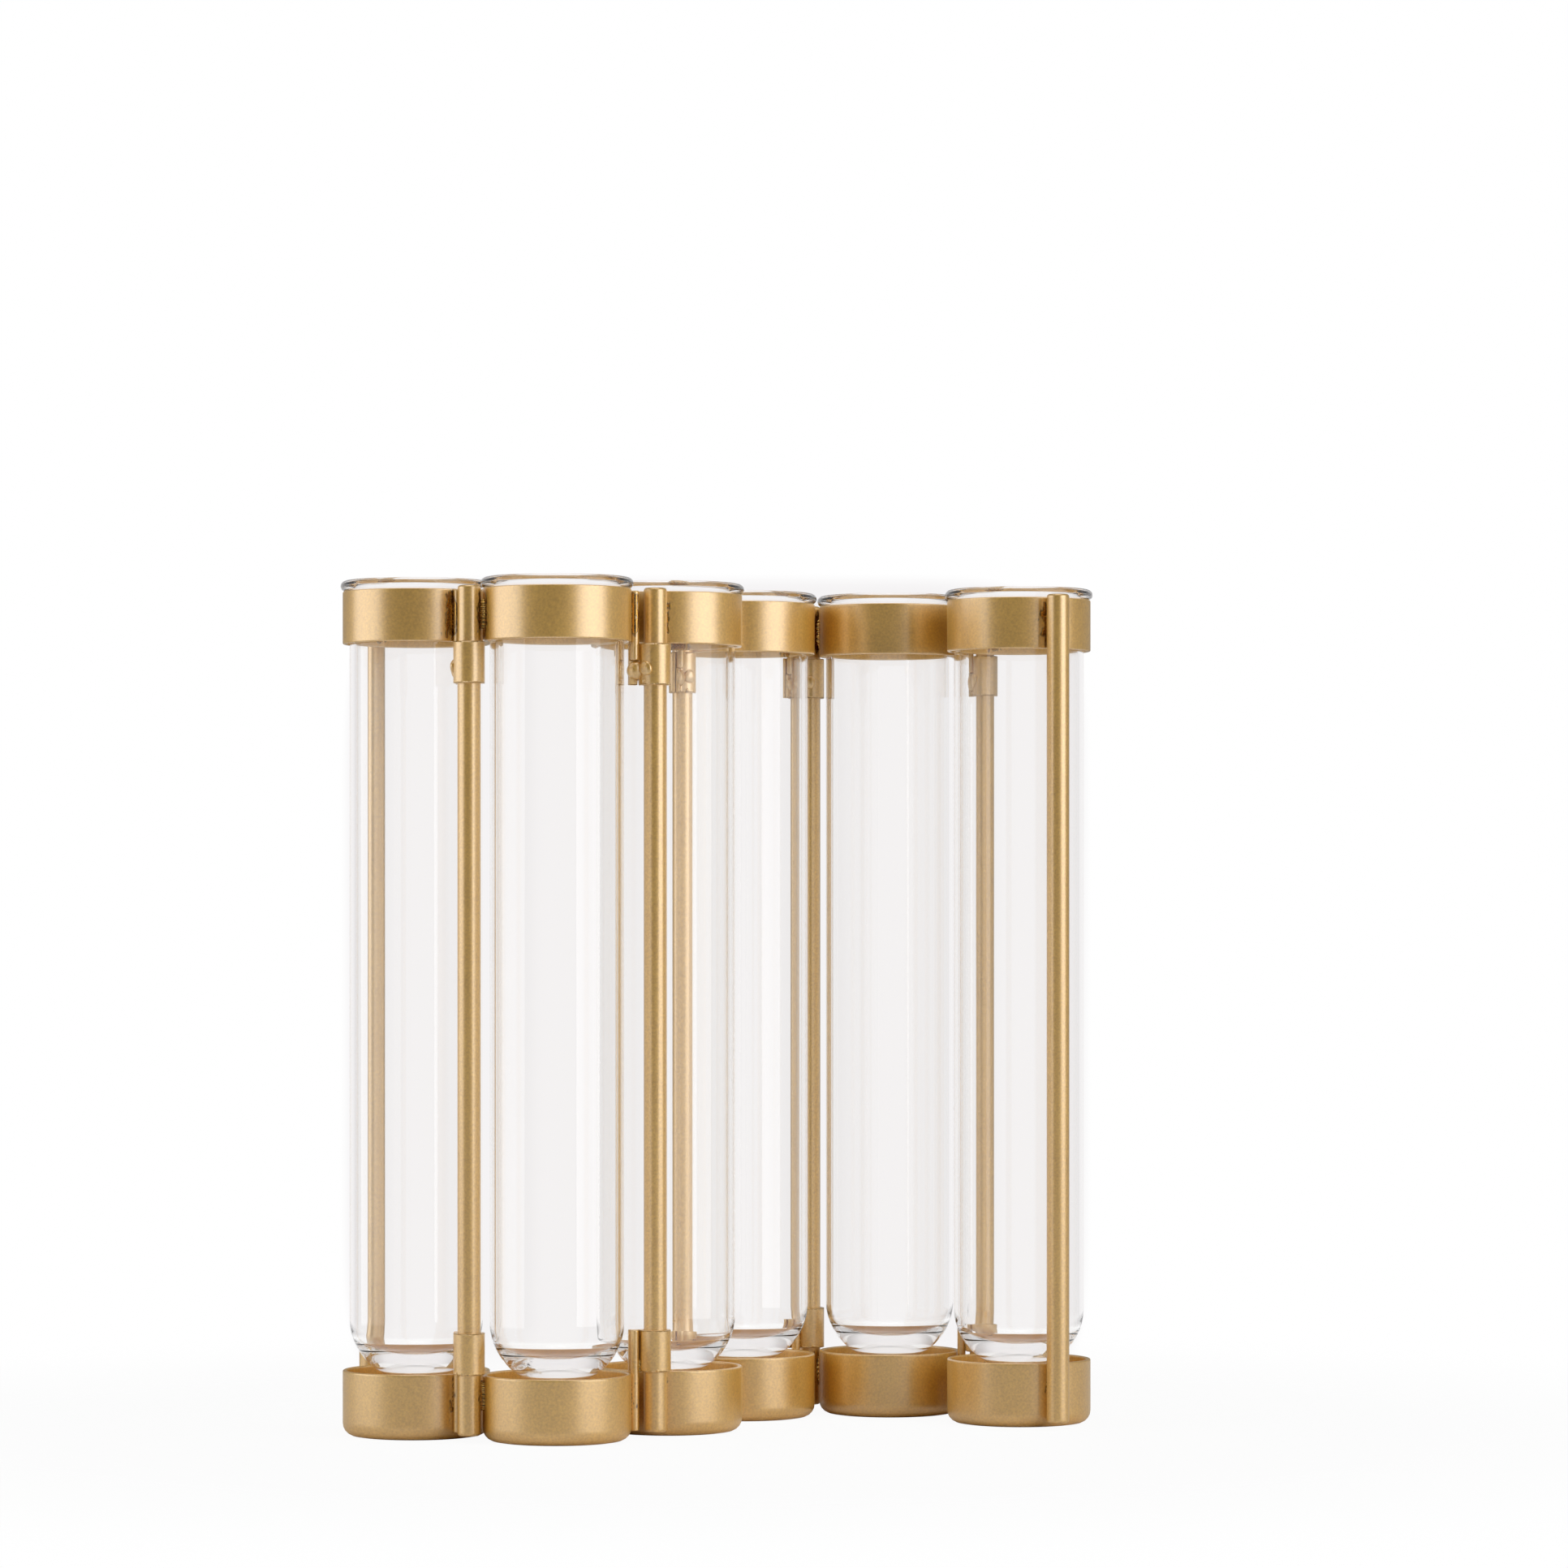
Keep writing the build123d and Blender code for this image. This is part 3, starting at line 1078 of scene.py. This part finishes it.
    def drops(self) -> list[Drop]:
        """Drops that the weld has left: a button, a lump and spatter above, one drop at the foot below.

        Returns:
            The drops, in the sleeve's own directions.
        """
        outer = self.bore + self.wall
        draw = np.random.default_rng(DROP_SEED + self.number)
        if self.level is Level.LOWER:
            facing = draw.uniform(*self.foot_drop_facings)
            place = self.flank(outer, facing, self.spatter_radius)
            return [Drop(place, facing, self.spatter_radius, self.spatter_height, self.number)]
        swelling = draw.uniform(*self.button_swellings)
        radius, proud = self.button_radius * swelling, self.button_height * swelling**3
        button = (self.stub_ahead + self.button_shift, self.front_layer, self.seat.foot + self.button_rise)
        lump = self.flank(outer, self.lump_facing, self.lump_rise)
        made = [
            Drop(button, self.leaf_facing, radius, proud, self.number),
            Drop(lump, self.lump_facing, self.lump_radius, self.lump_height, self.number),
        ]
        for side in (-1.0, 1.0):
            ahead = -outer - self.slit_width / 2.0 + side * (self.slit_width / 2.0 + self.spatter_radius)
            on_leaf = side < 0.0
            aside = self.front_layer if on_leaf else -outer * math.sqrt(1.0 - (ahead / outer) ** 2)
            facing = self.leaf_facing if on_leaf else self.leaf_facing - self.spatter_turn
            place = (ahead, aside, self.seat.foot + draw.uniform(*self.spatter_rises))
            made.append(Drop(place, facing, self.spatter_radius, self.spatter_height, 0))
        return made


@dataclass(frozen=True)
class Bead:
    """One braze bead in the valley between two upright rounds."""

    start: Seat
    end: Seat
    end_radius: float
    half_width: float
    foot: float
    run: float
    seed: int
    sunk: float = 0.25
    ripple: float = 0.13
    lump: float = 0.08
    pitch: float = 0.75
    hollow: float = 0.22
    taper_share: float = 0.97
    taper_power: float = 2.5
    wander: float = 0.8
    wander_rate: float = 1.3
    edge_lag: float = 1.1
    lump_rate: float = 2.1
    widest_share: float = 0.97
    rows: int = 44
    face_columns: int = 12

    def add_to(self, skin: Skin, start_radius: float) -> None:
        """Add the bead to a skin.

        At each height the bead reaches out of the valley by its half width, which swells and shrinks with
        the ripples and tapers to its ends. Its two open faces are hollow arcs between the rounds, and its
        sides lie just inside them.

        Args:
            skin: The surface that takes the new faces.
            start_radius: Radius of the round that the bead starts from.
        """
        phase = np.random.default_rng(self.seed).uniform(0.0, TURN, 3)
        rise = np.linspace(-1.0, 1.0, self.rows)[:, None]
        height = self.foot + self.run * (rise + 1.0) / 2.0
        taper = np.sqrt(1.0 - self.taper_share * np.abs(rise) ** self.taper_power)
        share = np.linspace(0.0, 1.0, self.face_columns)[None, :]
        edge = (2.0 * share - 1.0) ** 2
        lag = self.wander * np.sin(self.wander_rate * height + phase[1]) + self.edge_lag * edge
        beat = TURN * height / self.pitch + phase[0] + lag
        swell = 1.0 + self.ripple * np.cos(beat) + self.lump * np.sin(self.lump_rate * height + phase[2])
        reach = self.half_width * taper * swell * (1.0 - self.hollow * (1.0 - edge))
        reach = np.minimum(reach, self.widest_share * self.end_radius)
        distance = float(np.linalg.norm(self.end.axis - self.start.axis))
        near = np.sqrt(start_radius**2 - reach**2) - self.sunk
        far = distance - np.sqrt(self.end_radius**2 - reach**2) + self.sunk
        ahead = near + share * (far - near)
        bearing = Bearing.towards(self.start.axis, self.end.axis)
        ahead = np.concatenate([ahead, ahead[:, ::-1]], axis=1)
        aside = np.concatenate([-reach, reach[:, ::-1]], axis=1)
        grid = bearing.points(ahead, aside, height)
        tips = (grid[0].mean(axis=0), grid[-1].mean(axis=0))
        skin.add_grid(grid, np.ones(grid.shape[:2]), tips=tips)


@dataclass
class Holder:
    """One holder: ring, cup, hinge rod, and at its far side the sleeves with their stubs, or the end rod."""

    number: int
    is_last: bool
    gold: bpy.types.Material
    braze: bpy.types.Material
    rod_end_round: float = 0.55
    stub_end_round: float = 0.25
    rod_bead_half_width: float = 1.15
    rod_bead_run: float = 6.4
    stub_bead_half_width: float = 0.62
    stub_bead_run: float = 8.4
    sleeve_bead_half_width: float = 0.45
    sleeve_bead_run: float = 2.4
    bead_below_lip: float = 0.9
    wet_reach: float = 2.3
    wet_margin: float = 1.2
    lower_wetness: float = 0.36
    bead_run_shares: tuple[float, float] = (0.8, 1.05)

    def __post_init__(self) -> None:
        """Read the places of the holder's pieces from the frame."""
        self.ring = Seat.of(f"top_ring_{self.number}")
        self.cup = Seat.of(f"base_cup_{self.number}")
        far_rods = {"end_rod": "end_post"}
        if not self.is_last:
            levels = [level.value for level in Level]
            far_rods = {f"{level}_stub_{self.number}": f"{level}_pin_{self.number}" for level in levels}
        self.rods = {f"hinge_rod_{self.number}": f"hinge_post_{self.number}", **far_rods}

    def grip_height(self, level: Level, run: float) -> float:
        """Height of the middle of the beads at one level.

        Args:
            level: Upper beads lie half-way up the ring, lower ones just below the cup's lip.
            run: Length of the bead.

        Returns:
            The height.
        """
        if level is Level.UPPER:
            return (self.ring.foot + self.ring.top) / 2.0
        return self.cup.top - self.bead_below_lip - run / 2.0

    def bead_size(self, node: str) -> tuple[float, float]:
        """Size of the beads beside a rod or a stub.

        Args:
            node: CAD node of the rod or stub.

        Returns:
            Half width and run of the beads.
        """
        if "stub" in node:
            return self.stub_bead_half_width, self.stub_bead_run
        return self.rod_bead_half_width, self.rod_bead_run

    def joined(self, level: Level) -> list[str]:
        """Rods and stubs that are brazed on at one level."""
        other = Level.LOWER if level is Level.UPPER else Level.UPPER
        return [node for node in self.rods if not node.startswith(other.value)]

    def patches(self, axis: np.ndarray, level: Level, towards: list[str]) -> tuple[Patch, ...]:
        """Wetted places round an axis, one towards each of the named nodes.

        Args:
            axis: Axis of the wetted piece, in plan.
            level: Level of the joints.
            towards: Nodes on the other side of each joint.

        Returns:
            The patches.
        """
        found = []
        for node in towards:
            rod = node if node in self.rods else self.joined(level)[0]
            run = self.bead_size(rod)[1]
            angle = Bearing.towards(axis, Seat.of(node).axis).heading
            height = self.grip_height(level, run)
            strength = 1.0 if level is Level.UPPER else self.lower_wetness
            found.append(Patch(angle, height, self.wet_reach, run / 2.0 + self.wet_margin, strength))
        return tuple(found)

    def build(self) -> None:
        """Build every metal piece of the holder."""
        upper = self.patches(self.ring.axis, Level.UPPER, self.joined(Level.UPPER))
        lower = self.patches(self.cup.axis, Level.LOWER, self.joined(Level.LOWER))
        TopRing(self.number, self.gold, upper).build()
        BaseCup(self.number, self.gold, lower).build()
        for node, name in self.rods.items():
            end_round = self.stub_end_round if "stub" in node else self.rod_end_round
            levels = [level for level in Level if node in self.joined(level)]
            band = [f"top_ring_{self.number}"]
            wetted = [patch for level in levels for patch in self.patches(Seat.of(node).axis, level, band)]
            RoundRod(node, name, self.gold, tuple(wetted), end_round).build()
        for level in Level:
            if not self.is_last:
                RolledSleeve(self.number, level, self.gold).build()
            self.braze_on(level)

    def braze_on(self, level: Level) -> None:
        """Build the beads of one level as one piece.

        Args:
            level: Level of the beads.
        """
        band = self.ring if level is Level.UPPER else self.cup
        skin = Skin()
        nodes = self.joined(level)
        for order, node in enumerate(nodes):
            seed = BEAD_SEEDS * self.number + order
            half_width, run = self.bead_size(node)
            run *= np.random.default_rng(seed).uniform(*self.bead_run_shares)
            rod = Seat.of(node)
            foot = self.grip_height(level, run) - run / 2.0
            Bead(band, rod, rod.radius, half_width, foot, run, seed).add_to(skin, band.radius)
        if level is Level.LOWER and not self.is_last:
            self.braze_sleeve(skin, BEAD_SEEDS * self.number + len(nodes) - 1)
        skin.settle(f"{level.value}_beads_{self.number}", f"{level.value}_braze_{self.number}", self.braze)

    def braze_sleeve(self, skin: Skin, seed: int) -> None:
        """Add the short bead between the lower sleeve and its stub to a skin.

        Args:
            skin: The surface that takes the new faces.
            seed: Seed of the bead's phases.
        """
        sleeve = RolledSleeve(self.number, Level.LOWER, self.gold)
        foot, half_width, run = sleeve.seat.foot, self.sleeve_bead_half_width, self.sleeve_bead_run
        bead = Bead(sleeve.pin, sleeve.stub, sleeve.stub.radius, half_width, foot, run, seed)
        bead.add_to(skin, sleeve.bore + sleeve.wall)


@dataclass(frozen=True)
class Softbox:
    """Rectangular studio lamp that faces the object."""

    name: str
    azimuth: float
    elevation: float
    distance: float
    width: float
    height: float
    level: float

    def hang(self, target: Vector) -> None:
        """Place the lamp and point it at the object.

        Args:
            target: Place in metres that the lamp faces.
        """
        around, up = math.radians(self.azimuth), math.radians(self.elevation)
        out = Vector((math.sin(around) * math.cos(up), -math.cos(around) * math.cos(up), math.sin(up)))
        data = bpy.data.lights.new(self.name, "AREA")
        data.shape = "RECTANGLE"
        data.size, data.size_y = self.width * MM, self.height * MM
        data.energy = self.level * math.pi * data.size * data.size_y
        lamp = bpy.data.objects.new(self.name, data)
        lamp.location = target + out * self.distance * MM
        lamp.rotation_euler = (-out).to_track_quat("-Z", "Y").to_euler()
        lamp.visible_camera = False
        lamp.visible_transmission = False
        bpy.context.scene.collection.objects.link(lamp)


@dataclass(frozen=True)
class Studio:
    """Camera, lamps, surroundings and floor."""

    camera_place: tuple[float, float, float] = (11.88, -1059.03, 95.0)
    lens: float = 127.44
    shift_up: float = 0.0919
    floor_reach: float = 3000.0
    floor_gap: float = 0.02
    back_level: float = 0.3
    front_level: float = 0.07
    grey_zone: Colour = (0.915, 0.9, 0.905)
    grey_zone_middle: tuple[float, float] = (-0.0122, -0.0125)
    grey_zone_reach: tuple[float, float] = (0.0676, 0.0765)
    grey_zone_power: float = 8.0
    grey_zone_edge: tuple[float, float] = (0.7, 1.0)
    front_to_back: tuple[float, float] = (-0.7, 0.8)
    side_shade: float = 0.3
    side_edge: tuple[float, float] = (0.2, 0.8)
    bounces: int = 40
    lamps: tuple[Softbox, ...] = (
        Softbox(
            name="key_lamp",
            azimuth=56.0,
            elevation=16.0,
            distance=1300.0,
            width=1150.0,
            height=1200.0,
            level=2.15,
        ),
        Softbox(
            name="side_lamp",
            azimuth=-80.0,
            elevation=12.0,
            distance=1300.0,
            width=1300.0,
            height=1200.0,
            level=1.55,
        ),
        Softbox(
            name="top_lamp",
            azimuth=0.0,
            elevation=80.0,
            distance=1200.0,
            width=900.0,
            height=700.0,
            level=1.8,
        ),
    )

    def build(self) -> None:
        """Build the whole studio round the object."""
        self.stand_camera()
        self.surround()
        self.lay_floor()
        middle = (cad_box[0] + cad_box[1]) / 2.0
        for lamp in self.lamps:
            lamp.hang(middle)
        paths = bpy.context.scene.cycles
        paths.max_bounces = self.bounces
        paths.transmission_bounces = self.bounces
        paths.glossy_bounces = self.bounces
        bpy.context.scene.view_settings.view_transform = "Standard"

    def stand_camera(self) -> None:
        """Stand the camera level in front of the row, looking along +Y, with its frame shifted up."""
        data = bpy.data.cameras.new("camera")
        data.lens = self.lens
        data.shift_y = self.shift_up
        camera = bpy.data.objects.new("camera", data)
        camera.location = Vector(self.camera_place) * MM
        camera.rotation_euler = (TURN / 4.0, 0.0, 0.0)
        bpy.context.scene.collection.objects.link(camera)
        bpy.context.scene.camera = camera

    def surround(self) -> None:
        """Fill the world: white to the camera and in clear glass, dimmer for all other rays.

        The seen background is white, with a faint grey zone behind the object whose edge follows
        x**p + y**p = 1 for an even power p. What glass bends to either side is a little shaded. All other
        rays find a level that rises smoothly from the front to the back.
        """
        world = bpy.data.worlds.new("studio")
        bpy.context.scene.world = world
        tree = NodeTree(world)
        direction = tree.node("ShaderNodeTexCoord").outputs["Generated"]
        parts = tree.node("ShaderNodeSeparateXYZ", {}, {0: direction})
        side, depth, rise = (Socket(tree, parts.outputs[axis]) for axis in "XYZ")
        level = self.front_level + depth.step(*self.front_to_back) * (self.back_level - self.front_level)
        light = tree.node("ShaderNodeBackground", {}, {"Color": opaque(WHITE), "Strength": level})
        across = (side - self.grey_zone_middle[0]) * (1.0 / self.grey_zone_reach[0])
        up = (rise - self.grey_zone_middle[1]) * (1.0 / self.grey_zone_reach[1])
        outside = (across**self.grey_zone_power + up**self.grey_zone_power).step(*self.grey_zone_edge)
        camera, looked = tree.looked()
        bent = (side**2.0).step(*self.side_edge) * (1.0 - camera)
        shade = tree.blend(outside * camera, self.grey_zone, WHITE)
        strength = 1.0 - bent * self.side_shade
        seen = tree.node("ShaderNodeBackground", {}, {"Color": shade, "Strength": strength})
        surface = tree.mix_shaders(looked, light.outputs[0], seen.outputs[0])
        tree.node("ShaderNodeOutputWorld", {}, {"Surface": surface})

    def lay_floor(self) -> None:
        """Lay a square floor just below the cups."""
        reach, level = self.floor_reach * MM, -self.floor_gap * MM
        plan = ((-reach, -reach), (reach, -reach), (reach, reach), (-reach, reach))
        corners = [(*place, level) for place in plan]
        mesh = bpy.data.meshes.new("floor")
        mesh.from_pydata(corners, [], [(0, 1, 2, 3)])
        mesh.materials.append(StageWhite().make())
        floor = bpy.data.objects.new("floor", mesh)
        bpy.context.scene.collection.objects.link(floor)


def main() -> None:
    """Set up the studio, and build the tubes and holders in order."""
    logging.basicConfig(level=logging.INFO, format="%(name)s: %(message)s")
    Studio().build()
    glass = ClearGlass().make()
    gold = SatinGold().make()
    braze = SatinGold(name="rippled_braze", everywhere_wet=0.6).make()
    count = sum(node.startswith("test_tube_") for node in frame["nodes"])
    for number in range(1, count + 1):
        TestTube(number, glass).build()
        Holder(number, number == count, gold, braze).build()


if __name__ == "__main__":
    main()
